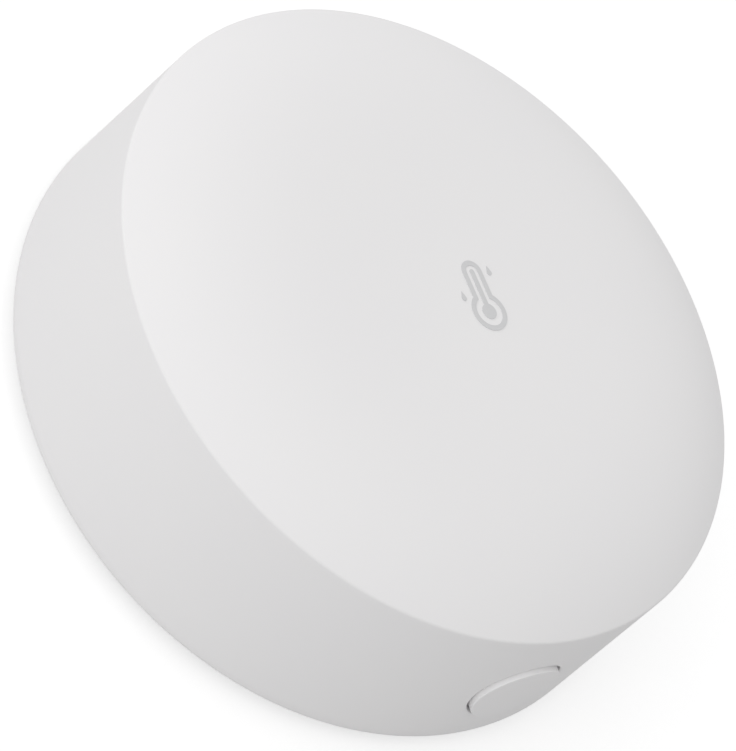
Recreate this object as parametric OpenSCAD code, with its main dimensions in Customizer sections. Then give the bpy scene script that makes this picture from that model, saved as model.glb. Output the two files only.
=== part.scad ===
// Round stick-on temperature and humidity sensor with a coin cell, sizes in millimetres.
// The sensor lies on its back: Z = 0 is the face of the adhesive pad, +Z leaves the domed front,
// and -Y is the side with the push button.

/* [Shell] */
// Diameter across the back edge of the shell
body_d = 36; // [34:0.5:44]
// Diameter across the corner where wall and front meet
front_d = 33.8; // [33:0.1:42]
// Height of the side wall, from the back edge to the front corner
wall_h = 9.35; // [9:0.05:14]
// Rise of the front from its corner to its middle
dome_h = 2.15; // [0.8:0.05:4]
// Power of the front's curve, where a higher one is flatter in the middle
dome_power = 5; // [3:1:8]
// Radius of the corner between wall and front
corner_r = 0.2; // [0.1:0.05:0.6]
// Radius of the shell's back edge
edge_r = 0.25; // [0.1:0.05:0.5]
// Wall thickness of the shell
shell_t = 1.4; // [1:0.1:1.7]
// Gap all round between shell and rear housing
seam_gap = 0.12; // [0.05:0.01:0.3]

/* [Printed mark] */
// Thickness of the printed ink
ink_t = 0.03; // [0.02:0.01:0.1]
// Width of the thermometer's outline
mark_line = 0.26; // [0.15:0.01:0.4]
// Outer radius of the thermometer's bulb
mark_bulb_r = 1; // [0.8:0.05:2]
// Outer radius of the thermometer's tube
mark_tube_r = 0.6; // [0.5:0.02:0.8]
// Radius of the solid bulb inside the outline
mark_core_r = 0.4; // [0.2:0.01:0.5]
// Radius of the column inside the tube
mark_column_r = 0.13; // [0.05:0.01:0.18]
// Distance from the bulb's middle to the middle of the tube's round end
mark_tube_l = 2.1; // [1.5:0.1:4]
// Height of the bulb's middle over the middle of the front
mark_bulb_y = -1.62; // [-4:0.01:0]
// Radius of a small drop's round end
drop_r = 0.14; // [0.1:0.01:0.3]
// Length of a small drop from its round end to its tip
drop_l = 0.36; // [0.3:0.01:0.8]
// Distance of the right drop from the thermometer's axis
drop_right_x = 1.04; // [0.9:0.01:2]
// Distance of the left drop from the thermometer's axis
drop_left_x = 1.17; // [0.9:0.01:2]
// Height of the right drop over the bulb's middle
drop_right_y = 1.98; // [1:0.01:3]
// Height of the left drop over the bulb's middle
drop_left_y = 0.8; // [0.2:0.01:3]
// Angle by which the print is turned from the button's side
mark_turn = 4; // [0:0.5:8]

/* [Button] */
// Diameter of the button's cap
button_d = 4.4; // [3.5:0.1:5]
// Gap all round the button's cap
button_gap = 0.12; // [0.08:0.02:0.3]
// How far the cap stands out of the wall
button_proud = 0.2; // [0.2:0.05:0.8]
// How far the button travels when pressed
button_travel = 0.2; // [0.1:0.05:0.3]
// Width of the button's flange outside its cap
flange_w = 0.6; // [0.4:0.05:0.8]
// Thickness of the button's flange
flange_t = 0.7; // [0.4:0.1:1]
// Diameter of the stem behind the button
stem_d = 1.6; // [1:0.1:2.2]
// Length of the stem behind the button
stem_l = 0.6; // [0.4:0.1:1]

/* [Push switch] */
// Width of the push switch
switch_w = 4.6; // [3.6:0.1:5.2]
// Depth of the push switch from its front
switch_l = 2.2; // [2:0.1:2.6]
// Height of the push switch under the board
switch_h = 2.4; // [2:0.1:2.6]
// Sheet thickness of the switch's metal frame
switch_sheet = 0.15; // [0.1:0.01:0.2]
// Width of the switch's plunger
plunger_w = 1.8; // [1.2:0.1:2.4]
// Height of the switch's plunger
plunger_h = 1.1; // [0.8:0.1:1.3]
// How far the plunger stands out of the switch
plunger_out = 0.5; // [0.35:0.05:0.8]
// How far the plunger reaches into the switch
plunger_in = 0.8; // [0.6:0.1:1]
// Running gap round the plunger
plunger_gap = 0.05; // [0.03:0.01:0.1]

/* [Rear housing] */
// Thickness of the rear plate
plate_t = 1.2; // [1:0.1:1.4]
// Height of the rim that guides the housing into the shell
spigot_h = 1.2; // [0.6:0.1:1.6]
// Thickness of that rim
spigot_t = 1; // [0.6:0.1:1.2]
// Thickness of the ledge that the cover locks behind
ledge_t = 0.8; // [0.6:0.05:1]
// Wall round the cover's recess
step_t = 0.6; // [0.5:0.05:1]
// Width of one air slot
vent_w = 0.6; // [0.4:0.05:0.8]
// Length of one air slot
vent_l = 1.5; // [1:0.1:1.8]
// Number of air slots
vent_count = 3; // [1:1:3]
// Distance between air slots
vent_pitch = 1.2; // [1:0.05:1.3]
// Wall of the air duct between slots and sensor chip
duct_t = 0.4; // [0.3:0.05:0.6]
// Gap between the air duct and the board
duct_gap = 0.1; // [0.05:0.05:0.3]

/* [Battery cover] */
// Thickness of the cover's disc
cover_t = 1; // [0.8:0.05:1.2]
// How far the cover lies below the back face
cover_inset = 0.1; // [0:0.05:0.3]
// How far the disc reaches past the lock's notches
cover_lip = 0.4; // [0.3:0.05:0.7]
// Gap round the cover's disc
cover_gap = 0.15; // [0.1:0.01:0.3]
// Wall of the cover's neck
neck_t = 0.7; // [0.5:0.05:0.9]
// How far each lug reaches out of the neck
lug_reach = 0.5; // [0.4:0.05:0.7]
// Thickness of each lug
lug_t = 0.7; // [0.5:0.05:0.9]
// Angle that one lug covers
lug_span = 28; // [16:1:32]
// Angle that the cover turns between locked and open
turn_angle = 35; // [34:1:40]
// Gap between the turning cover and the housing
turn_gap = 0.1; // [0.06:0.01:0.2]
// Angle between a lug and its stop
stop_gap = 1.5; // [0.5:0.5:3]
// Angle that one stop covers
stop_span = 8; // [4:1:10]
// Length of the coin slot
slot_l = 12; // [9:0.5:16]
// Width of the coin slot
slot_w = 1.8; // [1.4:0.1:2.4]
// Depth of the coin slot at its middle
slot_deep = 0.6; // [0.3:0.05:0.7]
// Radius of the position marks
dot_r = 0.4; // [0.2:0.05:0.6]
// Depth of the position marks
dot_deep = 0.2; // [0.1:0.05:0.3]

/* [Adhesive pad] */
// Thickness of the pad
pad_t = 0.9; // [0.6:0.05:1.2]
// Depth of the recess that holds the pad
pad_inset = 0.3; // [0.1:0.05:0.4]
// Width of the plate's rim outside the pad
pad_rim = 0.3; // [0.2:0.05:0.6]
// Angle left open in the ring for the air slots
pad_open = 56; // [50:1:80]
// Gap between the pad and the edges of its recess
pad_gap = 0.1; // [0.05:0.01:0.3]

/* [Screws] */
// Diameter of a screw's head
head_d = 2; // [1.6:0.1:2.2]
// Height of a screw's head
head_h = 0.6; // [0.4:0.05:0.8]
// Diameter of a screw's thread
thread_d = 1.2; // [1:0.05:1.3]
// Depth that a screw bites into its boss
screw_bite = 1.7; // [1:0.1:2]
// Diameter of the posts and bosses round the screws
boss_d = 2.4; // [2:0.1:2.6]
// Distance of the screws from the board's edge
screw_edge = 1.3; // [1.2:0.05:1.5]
// Gap round a screw that passes through a hole
screw_gap = 0.1; // [0.05:0.01:0.2]
// Gap between a thread and the wall of its pilot hole
thread_gap = 0.02; // [0.01:0.01:0.05]

/* [Coin cell] */
// Diameter of the coin cell
cell_d = 20; // [18:0.1:20.4]
// Height of the coin cell
cell_h = 3.2; // [2.5:0.1:3.4]
// Sheet thickness of the cell's can and cap
cell_sheet = 0.25; // [0.2:0.01:0.3]
// Gap round the coin cell
cell_gap = 0.2; // [0.1:0.05:0.4]
// Height of the ribs that the cell lies on
rib_h = 0.35; // [0.2:0.05:0.5]
// Gap between the cell and those ribs
rib_gap = 0.05; // [0.02:0.01:0.1]
// Height left for the spring between cell and board
spring_h = 0.95; // [0.8:0.05:1.2]

/* [Contacts] */
// Sheet thickness of the battery contacts
contact_t = 0.2; // [0.1:0.01:0.25]
// Width of the battery contacts
contact_w = 3; // [2:0.1:4]
// Gap left between a contact and the cell
contact_gap = 0.05; // [0.02:0.01:0.1]
// Length of the soldered foot of a contact
foot_l = 2; // [1.5:0.1:2.4]
// Wall of the battery frame
frame_t = 0.9; // [0.7:0.05:1.2]
// Diameter of the frame's pins through the board
pin_d = 1; // [0.7:0.05:1.1]

/* [Circuit board] */
// Thickness of the circuit board
board_t = 1; // [0.8:0.1:1.2]
// Gap between the board and the shell
board_gap = 0.2; // [0.1:0.05:0.4]
// Width of the slots that keep heat from the sensor chip
relief_w = 0.7; // [0.5:0.05:0.9]
// Side of the humidity sensor chip
sensor_w = 1.5; // [1:0.1:1.8]
// Height of the humidity sensor chip
sensor_h = 0.8; // [0.5:0.05:1]
// Length of the shield can
can_l = 9.4; // [8.6:0.1:11]
// Width of the shield can
can_w = 7.4; // [6.6:0.1:8]
// Height of the shield can
can_h = 1.5; // [1.3:0.1:1.8]
// Sheet thickness of the shield can
can_t = 0.2; // [0.1:0.01:0.25]
// Side of the radio chip
chip_w = 5; // [4:0.1:5.4]
// Height of the radio chip
chip_h = 0.85; // [0.6:0.05:0.95]
// Length of the crystal
crystal_l = 2; // [1.6:0.1:2.5]
// Width of the crystal
crystal_w = 1.6; // [1.2:0.1:2]
// Height of the crystal
crystal_h = 0.6; // [0.4:0.05:0.8]
// Gap between the radio chip and the crystal
crystal_gap = 0.5; // [0.2:0.05:0.6]
// Length of the chip antenna
antenna_l = 5; // [4:0.1:6]
// Width of the chip antenna
antenna_w = 2; // [1.2:0.1:2.2]
// Height of the chip antenna
antenna_h = 1.1; // [0.8:0.1:1.2]
// Length of one chip capacitor or resistor
part_l = 1.6; // [1:0.1:1.6]
// Width of one chip capacitor or resistor
part_w = 0.8; // [0.5:0.05:0.85]
// Height of one chip capacitor
capacitor_h = 0.8; // [0.5:0.05:0.9]
// Height of one chip resistor
resistor_h = 0.45; // [0.3:0.05:0.6]
// Distance between chip parts in a row
part_pitch = 1.5; // [1.2:0.05:1.7]
// Chip capacitors in the row
capacitor_count = 6; // [1:1:6]
// Chip resistors in the row
resistor_count = 5; // [1:1:6]
// Height of the status lamp
lamp_h = 0.6; // [0.4:0.05:0.8]

/* [Hidden] */
$fn = 96;

// Margin by which cutters pass the faces that they cut
cut = 1;
// Depth by which walls and posts are rooted in the rear plate, short of the cover
root = turn_gap / 2;

// Heights, from the wall that the pad sticks to up to the front
back_z = pad_t - pad_inset;
rim_z = back_z + wall_h;
top_z = rim_z + dome_h;
plate_top = back_z + plate_t;
cover_z = back_z + cover_inset;
cover_top = cover_z + cover_t;
ledge_z = cover_top + turn_gap;
ledge_top = ledge_z + ledge_t;
lug_z = ledge_top + turn_gap;
lug_top = lug_z + lug_t;
cell_z = cover_top + rib_h + rib_gap;
cell_top = cell_z + cell_h;
board_z = cell_top + spring_h;
board_top = board_z + board_t;
button_z = board_z - switch_h / 2;

// Radii of the shell at a height, and the height of its front at a radius
body_r = body_d / 2;
front_r = front_d / 2;
function outer_r(z) = body_r - (body_r - front_r) * (z - back_z) / wall_h;
function inner_r(z) = outer_r(z) - shell_t;
function front_z(r) = rim_z + dome_h * (1 - pow(r / front_r, dome_power));

// The front's corner: how far the wall leans, how steeply the front meets it, and the arc between
lean = atan((body_r - front_r) / wall_h);
fall = atan(dome_h * dome_power / front_r);
corner_run = corner_r * tan((90 - lean - fall) / 2);
corner_x = front_r + corner_run * sin(lean) - corner_r * cos(lean);
corner_z = rim_z - corner_run * cos(lean) - corner_r * sin(lean);
dome_start = front_r - corner_run * cos(fall);
dome_steps = 36;
arc_steps = 6;

// Rings of the battery cover and its lock, from the cell outwards
cell_r = cell_d / 2;
neck_in = cell_r + cell_gap;
neck_r = neck_in + neck_t;
lug_r = neck_r + lug_reach;
ledge_in = neck_r + turn_gap;
notch_r = lug_r + turn_gap;
cover_r = notch_r + cover_lip;
recess_r = cover_r + cover_gap;
lug_angles = [30, 150, 270];
notch_margin = 2.5;
dot_angle = 90 + turn_angle / 2;

// Rings of the rear housing, the board and the pad, from the shell inwards
plate_r = min(inner_r(back_z), inner_r(plate_top)) - seam_gap;
spigot_r = min(plate_r, inner_r(plate_top + spigot_h) - seam_gap);
board_r = min(inner_r(board_z), inner_r(board_top)) - board_gap;
screw_r = min(board_r - screw_edge, plate_r - boss_d / 2);
screw_angles = [45, 135, 225, 315];
pad_in = recess_r + pad_gap + step_t;
pad_out = plate_r - pad_rim - pad_gap;

// Screws, from the recess of the pad up to their bite in the bosses
head_sink = 0.1;
head_z = back_z + pad_inset + head_sink;
head_seat = head_z + head_h;
screw_tip = board_top + screw_bite;
tip_l = 0.4;
hole_r = thread_d / 2 + screw_gap;
pilot_r = thread_d / 2 + thread_gap;
drive_l = 1.2;
drive_w = 0.3;
drive_deep = 0.35;

// The button's seat inside the shell, and the switch behind it
button_r = button_d / 2;
flange_r = button_r + flange_w;
seat_r = flange_r + flange_w;
seat_in = min(inner_r(button_z + seat_r), inner_r(button_z - seat_r));
seat_y = sqrt(pow(seat_in, 2) - pow(seat_r, 2));
seat_floor = plate_top + seam_gap;
flange_y = seat_y - flange_t;
tip_y = flange_y - stem_l;
switch_y = tip_y - plunger_out;
notch_y = flange_y - 2 * button_travel;
notch_w = 2 * (flange_r + board_gap);

// The sensor chip in its air duct, whose outer corners stay inside the shell from plate to board
duct_l = sensor_w + 4 * duct_gap;
duct_w = vent_count * vent_pitch + 2 * duct_gap;
duct_r = min(spigot_r, inner_r(board_z) - seam_gap);
duct_out = sqrt(pow(duct_r, 2) - pow(duct_w / 2 + duct_t, 2));
sensor_y = duct_out - duct_t - duct_l / 2;

// Parts on the front of the board, set out round the shield can
can_x = -1.2;
can_y = 2.4;
chip_x = can_x - can_l / 2 + can_t + chip_w / 2 + board_gap;
crystal_x = chip_x + chip_w / 2 + crystal_gap + crystal_l / 2;
row_gap = 0.7;
row_x = can_x - can_l / 2 + part_w;
capacitor_y = can_y + can_w / 2 + part_l / 2 + row_gap;
resistor_y = can_y - can_w / 2 - part_l / 2 - row_gap;
lamp_x = 6;
pin_angles = [60, 120];
pin_r = neck_in + frame_t / 2;
frame_z = lug_top + turn_gap;

// A point on the plane at an angle from +X
function polar(r, a) = [r * cos(a), r * sin(a)];

// Ring sector with a square section, from angle a over a span
module sector(r_in, r_out, z_low, z_high, a, span) {
    rotate([0, 0, a]) rotate_extrude(angle = span)
        translate([r_in, z_low]) square([r_out - r_in, z_high - z_low]);
}

// Ring with a square section
module ring(r_in, r_out, z_low, z_high) {
    translate([0, 0, z_low]) difference() {
        cylinder(r = r_out, h = z_high - z_low);
        translate([0, 0, -cut]) cylinder(r = r_in, h = z_high - z_low + 2 * cut);
    }
}

// Block centred on x and y, standing on z
module block(x, y, z, size) {
    translate([x - size[0] / 2, y - size[1] / 2, z]) cube(size);
}

// Cylinder along Y that starts at y_high and runs down to y_low, on the button's axis
module button_rod(r, y_low, y_high) {
    translate([0, y_high, button_z]) rotate([90, 0, 0]) cylinder(r = r, h = y_high - y_low);
}

// Sheet strip bent along a path in X and Z, centred on Y
module bent_strip(path, width, t) {
    translate([0, width / 2, 0]) rotate([90, 0, 0]) linear_extrude(height = width) {
        for (i = [0 : len(path) - 2]) {
            run = path[i + 1] - path[i];
            translate(path[i]) rotate(atan2(run[1], run[0]))
                translate([0, -t / 2]) square([norm(run), t]);
        }
        for (i = [1 : len(path) - 2]) translate(path[i]) circle(d = t);
    }
}

// Places its children at every screw
module at_screws() {
    for (a = screw_angles) translate(polar(screw_r, a)) children();
}

// Full body under the shell's outer face, grown outwards by a distance
module shell_body(grow) {
    wall = [[0, back_z], [outer_r(back_z) + grow - edge_r, back_z],
        [outer_r(back_z + edge_r) + grow, back_z + edge_r]];
    corner = [for (i = [0 : arc_steps]) let (a = lean + (90 - fall - lean) * i / arc_steps)
        [corner_x + grow + corner_r * cos(a), corner_z + corner_r * sin(a)]];
    dome = [for (i = [1 : dome_steps]) let (r = dome_start * (1 - i / dome_steps))
        [r, front_z(r)]];
    rotate_extrude() polygon(concat(wall, corner, dome));
}

// Space inside the shell, open at the back
module shell_hollow() {
    low = back_z - cut;
    edge_z = rim_z - shell_t;
    edge_x = inner_r(edge_z);
    dome = [for (i = [0 : dome_steps]) let (s = 1 - i / dome_steps)
        [edge_x * s, front_z(front_r * s) - shell_t]];
    rotate_extrude() polygon(concat([[0, low], [inner_r(low), low]], dome));
}

module front_shell() {
    color("white") difference() {
        shell_body(0);
        difference() {
            shell_hollow();
            at_screws() translate([0, 0, board_top]) cylinder(d = boss_d, h = top_z);
            intersection() {
                button_rod(seat_r, -body_r, -seat_y);
                translate([-body_r, -body_r, seat_floor]) cube([body_d, body_d, top_z]);
            }
        }
        at_screws() translate([0, 0, board_top - cut])
            cylinder(r = pilot_r, h = cut + screw_bite + tip_l);
        button_rod(button_r + button_gap, -body_r - cut, -seat_y + cut);
    }
}

// One small drop with its round end down and its tip up
module drop() {
    circle(r = drop_r);
    polygon([[-drop_r, 0], [drop_r, 0], [0, drop_l]]);
}

// Outline of the thermometer, shrunk inwards by a distance
module thermometer(shrink) {
    tube = mark_tube_r - shrink;
    circle(r = mark_bulb_r - shrink);
    translate([-tube, 0]) square([2 * tube, mark_tube_l]);
    translate([0, mark_tube_l]) circle(r = tube);
}

// The printed symbol, a thermometer between two small drops
module symbol() {
    difference() {
        thermometer(0);
        thermometer(mark_line);
    }
    circle(r = mark_core_r);
    translate([-mark_column_r, 0]) square([2 * mark_column_r, mark_tube_l]);
    translate([0, mark_tube_l]) circle(r = mark_column_r);
    translate([drop_right_x, drop_right_y]) drop();
    translate([-drop_left_x, drop_left_y]) drop();
}

module thermometer_mark() {
    color("silver") rotate(mark_turn) translate([0, mark_bulb_y, top_z])
        linear_extrude(height = ink_t) symbol();
}

module side_button() {
    color("white") {
        intersection() {
            button_rod(button_r, -body_r - cut, -seat_y);
            shell_body(button_proud);
        }
        button_rod(flange_r, -seat_y, -flange_y);
        button_rod(stem_d / 2, -flange_y, -tip_y);
    }
}

module switch_plunger() {
    color("dimgray") block(0, (plunger_in - plunger_out) / 2 - switch_y, button_z - plunger_h / 2,
        [plunger_w, plunger_out + plunger_in, plunger_h]);
}

module switch_body() {
    hole_l = plunger_in + 2 * button_travel;
    color("black") difference() {
        block(0, switch_l / 2 - switch_y, board_z - switch_h, [switch_w, switch_l, switch_h]);
        block(0, (hole_l - cut) / 2 - switch_y, button_z - plunger_h / 2 - plunger_gap,
            [plunger_w + 2 * plunger_gap, hole_l + cut, plunger_h + 2 * plunger_gap]);
    }
}

module switch_frame() {
    color("lightgray") difference() {
        block(0, switch_l / 2 - switch_y, board_z - switch_h - switch_sheet,
            [switch_w + 2 * switch_sheet, switch_l, switch_h + switch_sheet]);
        block(0, switch_l / 2 - switch_y, board_z - switch_h,
            [switch_w, switch_l + 2 * cut, switch_h + cut]);
    }
}

module circuit_board() {
    color("darkgreen") difference() {
        translate([0, 0, board_z]) cylinder(r = board_r, h = board_t);
        at_screws() translate([0, 0, board_z - cut]) cylinder(r = hole_r, h = board_t + 2 * cut);
        for (a = pin_angles) translate(polar(pin_r, a)) translate([0, 0, board_z - cut])
            cylinder(d = pin_d + 2 * plunger_gap, h = board_t + 2 * cut);
        block(0, -notch_y - board_r / 2, board_z - cut, [notch_w, board_r, board_t + 2 * cut]);
        for (side = [-1, 1]) block(side * (duct_w / 2 + relief_w), sensor_y - 2 * duct_gap,
            board_z - cut, [relief_w, sensor_w, board_t + 2 * cut]);
    }
}

module radio_chip() {
    color("black") block(chip_x, can_y, board_top, [chip_w, chip_w, chip_h]);
}

module crystal() {
    color("silver") block(crystal_x, can_y, board_top, [crystal_l, crystal_w, crystal_h]);
}

module shield_can() {
    color("lightgray") difference() {
        block(can_x, can_y, board_top, [can_l, can_w, can_h]);
        block(can_x, can_y, board_top - cut,
            [can_l - 2 * can_t, can_w - 2 * can_t, can_h - can_t + cut]);
    }
}

module chip_antenna() {
    color("ivory") block(-board_r + antenna_w, 0, board_top, [antenna_w, antenna_l, antenna_h]);
}

module humidity_sensor() {
    color("black") difference() {
        block(0, sensor_y, board_z - sensor_h, [sensor_w, sensor_w, sensor_h]);
        translate([0, sensor_y, board_z - sensor_h - cut])
            cylinder(d = sensor_w / 2, h = cut + sensor_h / 2);
    }
}

module status_lamp() {
    color("lightyellow") block(lamp_x, resistor_y, board_top, [part_w, part_l, lamp_h]);
}

module chip_capacitors() {
    color("tan") for (i = [0 : capacitor_count - 1])
        block(row_x + i * part_pitch, capacitor_y, board_top, [part_w, part_l, capacitor_h]);
}

module chip_resistors() {
    color("black") for (i = [0 : resistor_count - 1])
        block(row_x + i * part_pitch, resistor_y, board_top, [part_w, part_l, resistor_h]);
}

module battery_frame() {
    switch_back = switch_y - switch_l - turn_gap;
    color("black") {
        difference() {
            ring(neck_in, neck_in + frame_t, frame_z, board_z);
            block(0, -switch_back - board_r / 2, frame_z - cut, [board_r, board_r, board_z + cut]);
            block(neck_in, 0, frame_z - cut,
                [2 * frame_t + cut, contact_w + 2 * cell_gap, board_z + cut]);
        }
        for (a = pin_angles) translate(polar(pin_r, a)) translate([0, 0, board_z])
            cylinder(d = pin_d, h = board_t);
    }
}

module positive_contact() {
    touch_x = cell_r + contact_gap + contact_t / 2;
    foot_z = board_z - contact_t / 2;
    color("gold") bent_strip([[touch_x + 2 * frame_t + foot_l / 2, foot_z],
        [touch_x + frame_t / 2, foot_z], [touch_x, (cell_top + frame_z) / 2],
        [touch_x + frame_t / 2, frame_z + contact_t]], contact_w, contact_t);
}

module negative_contact() {
    touch_z = cell_top + contact_gap + contact_t / 2;
    foot_z = board_z - contact_t / 2;
    color("gold") bent_strip([[-2 * foot_l, foot_z], [-foot_l, foot_z], [foot_l, touch_z],
        [2 * foot_l, (touch_z + foot_z) / 2]], contact_w, contact_t);
}

// Ring-shaped sheet parts of the cell, each turned from its half section
module coin_cell_can() {
    wall_in = cell_r - cell_sheet;
    lip_z = cell_top - 2 * cell_sheet;
    color("silver") rotate_extrude() polygon([[0, cell_z], [wall_in, cell_z],
        [cell_r, cell_z + cell_sheet], [cell_r, lip_z - 2 * cell_sheet], [wall_in, lip_z],
        [wall_in - 2 * cell_sheet, lip_z], [wall_in - 2 * cell_sheet, lip_z - cell_sheet],
        [wall_in, lip_z - 2 * cell_sheet], [wall_in, cell_z + cell_sheet],
        [0, cell_z + cell_sheet]]);
}

module coin_cell_gasket() {
    wall_r = cell_r - cell_sheet - rib_gap;
    lip_r = wall_r - 2 * cell_sheet;
    in_r = lip_r - cell_sheet;
    low = cell_z + cell_sheet;
    shoulder = cell_top - 5 * cell_sheet;
    color("dimgray") rotate_extrude() polygon([[in_r, low], [wall_r, low], [wall_r, shoulder],
        [lip_r, shoulder + cell_sheet], [lip_r, cell_top - 2 * cell_sheet],
        [in_r, cell_top - 2 * cell_sheet]]);
}

module coin_cell_cap() {
    wall_r = cell_r - 4 * cell_sheet - 2 * rib_gap;
    step_r = wall_r - 2 * cell_sheet;
    low = cell_z + 2 * cell_sheet;
    shoulder = cell_top - 2 * cell_sheet;
    color("silver") rotate_extrude() polygon([[0, cell_top], [step_r - cell_sheet, cell_top],
        [step_r, cell_top - cell_sheet], [wall_r, shoulder], [wall_r, low],
        [wall_r - cell_sheet, low], [wall_r - cell_sheet, shoulder - cell_sheet],
        [step_r - cell_sheet, shoulder], [step_r - 2 * cell_sheet, cell_top - cell_sheet],
        [0, cell_top - cell_sheet]]);
}

module coin_cell_core() {
    color("gray") translate([0, 0, cell_z + cell_sheet])
        cylinder(r = cell_r - 5 * cell_sheet - 3 * rib_gap, h = cell_h - 5 * cell_sheet);
}

// Plate of the rear housing, turned from its section: recess, ledge and the pad's groove
module rear_plate() {
    groove_in = pad_in - pad_gap;
    groove_out = pad_out + pad_gap;
    rotate_extrude() polygon([[recess_r, back_z], [groove_in, back_z],
        [groove_in, back_z + pad_inset], [groove_out, back_z + pad_inset], [groove_out, back_z],
        [plate_r, back_z], [plate_r, plate_top], [recess_r + step_t, plate_top],
        [recess_r + step_t, ledge_top], [ledge_in, ledge_top], [ledge_in, ledge_z],
        [recess_r, ledge_z]]);
}

// Stops that end the cover's turn, one at each end of each lug's path
module lug_stops() {
    locked = lug_span / 2 + stop_gap;
    open = turn_angle + lug_span / 2 + stop_gap + stop_span;
    for (a = lug_angles, start = [a + locked, a - open])
        sector(notch_r - lug_reach / 2, recess_r + step_t / 2, ledge_z + ledge_t / 2, lug_top,
            start, stop_span);
}

// Rim that guides the plate into the shell, left open behind the button
module guide_rim() {
    difference() {
        ring(spigot_r - spigot_t, spigot_r, plate_top - root, plate_top + spigot_h);
        block(0, -plate_r, 0, [2 * (seat_r + seam_gap), plate_r, top_z]);
    }
}

// Walls that lead air from the slots to the sensor chip
module air_duct() {
    low = plate_top - root;
    difference() {
        block(0, sensor_y, low,
            [duct_w + 2 * duct_t, duct_l + 2 * duct_t, board_z - duct_gap - low]);
        block(0, sensor_y, low - cut, [duct_w, duct_l, top_z]);
    }
}

// Marks for the cover's locked and open places: a full dot and a ring
module turn_marks() {
    floor_z = back_z + pad_inset + dot_deep;
    for (a = [dot_angle, 180 - dot_angle]) translate(polar(pad_in + 2 * dot_r, a)) difference() {
        cylinder(r = dot_r, h = floor_z);
        if (a < 90) cylinder(r = dot_r / 2, h = floor_z + cut);
    }
}

module rear_housing() {
    color("whitesmoke") difference() {
        union() {
            rear_plate();
            lug_stops();
            guide_rim();
            at_screws() translate([0, 0, plate_top - root])
                cylinder(d = boss_d, h = board_z - plate_top + root);
            air_duct();
        }
        for (a = lug_angles) sector(0, notch_r, ledge_z - cut, lug_top + cut,
            a - turn_angle - lug_span / 2 - notch_margin, lug_span + 2 * notch_margin);
        at_screws() {
            cylinder(r = head_d / 2 + screw_gap, h = head_seat);
            cylinder(r = hole_r, h = board_z + cut);
        }
        for (i = [0 : vent_count - 1])
            block((i - (vent_count - 1) / 2) * vent_pitch, sensor_y, 0,
                [vent_w, vent_l, plate_top + cut]);
        turn_marks();
    }
}

module housing_screws() {
    color("silver") at_screws() difference() {
        union() {
            translate([0, 0, head_z]) cylinder(d = head_d, h = head_h);
            translate([0, 0, head_seat]) cylinder(d = thread_d, h = screw_tip - tip_l - head_seat);
            translate([0, 0, screw_tip - tip_l])
                cylinder(d1 = thread_d, d2 = thread_d / 2, h = tip_l);
        }
        block(0, 0, head_z - cut, [drive_l, drive_w, cut + drive_deep]);
        block(0, 0, head_z - cut, [drive_w, drive_l, cut + drive_deep]);
    }
}

// Disc of the cover with its neck and the rib under the cell, turned from its section
module cover_disc() {
    rib_in = cell_r / 2;
    rib_out = rib_in + neck_t;
    rotate_extrude() polygon([[0, cover_z], [cover_r, cover_z], [cover_r, cover_top],
        [neck_r, cover_top], [neck_r, lug_top], [neck_in, lug_top], [neck_in, cover_top],
        [rib_out, cover_top], [rib_out, cover_top + rib_h], [rib_in, cover_top + rib_h],
        [rib_in, cover_top], [0, cover_top]]);
}

module battery_cover() {
    slot_r = (pow(slot_l / 2, 2) + pow(slot_deep, 2)) / (2 * slot_deep);
    color("whitesmoke") difference() {
        union() {
            cover_disc();
            for (a = lug_angles)
                sector(neck_r - neck_t / 2, lug_r, lug_z, lug_top, a - lug_span / 2, lug_span);
        }
        translate([0, slot_w / 2, cover_z + slot_deep - slot_r]) rotate([90, 0, 0])
            cylinder(r = slot_r, h = slot_w);
        translate(polar(cover_r - 3 * dot_r, dot_angle)) cylinder(r = dot_r, h = cover_z + dot_deep);
    }
}

module adhesive_pad() {
    color("gainsboro") sector(pad_in, pad_out, 0, pad_t, 90 + pad_open / 2, 360 - pad_open);
}

front_shell();
thermometer_mark();
side_button();
switch_plunger();
switch_body();
switch_frame();
circuit_board();
radio_chip();
crystal();
shield_can();
chip_antenna();
humidity_sensor();
status_lamp();
chip_capacitors();
chip_resistors();
battery_frame();
positive_contact();
negative_contact();
coin_cell_can();
coin_cell_gasket();
coin_cell_core();
coin_cell_cap();
rear_housing();
housing_screws();
battery_cover();
adhesive_pad();
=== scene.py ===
import math

import bmesh
import bpy
from mathutils import Matrix, Quaternion, Vector


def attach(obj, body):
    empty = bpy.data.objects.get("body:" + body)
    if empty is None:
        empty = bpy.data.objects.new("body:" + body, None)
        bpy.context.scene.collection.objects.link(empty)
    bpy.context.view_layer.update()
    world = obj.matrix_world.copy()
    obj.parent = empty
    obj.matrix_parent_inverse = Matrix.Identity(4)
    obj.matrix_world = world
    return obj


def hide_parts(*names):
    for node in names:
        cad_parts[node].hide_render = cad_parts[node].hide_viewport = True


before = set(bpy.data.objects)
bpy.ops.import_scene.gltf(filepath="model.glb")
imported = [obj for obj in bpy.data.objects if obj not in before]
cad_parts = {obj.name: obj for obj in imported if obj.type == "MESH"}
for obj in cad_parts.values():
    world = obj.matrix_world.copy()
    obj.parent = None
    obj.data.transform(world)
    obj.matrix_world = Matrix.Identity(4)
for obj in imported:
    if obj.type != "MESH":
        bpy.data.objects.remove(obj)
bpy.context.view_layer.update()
mm = 0.001  # pieces are drawn in millimetres and scaled to metres when they are finished


def hexColour(code):  # sRGB hex to linear, with alpha
    parts = [int(code[i:i + 2], 16) / 255 for i in (1, 3, 5)]
    return [p / 12.92 if p <= 0.04045 else ((p + 0.055) / 1.055) ** 2.4 for p in parts] + [1.0]


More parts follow.
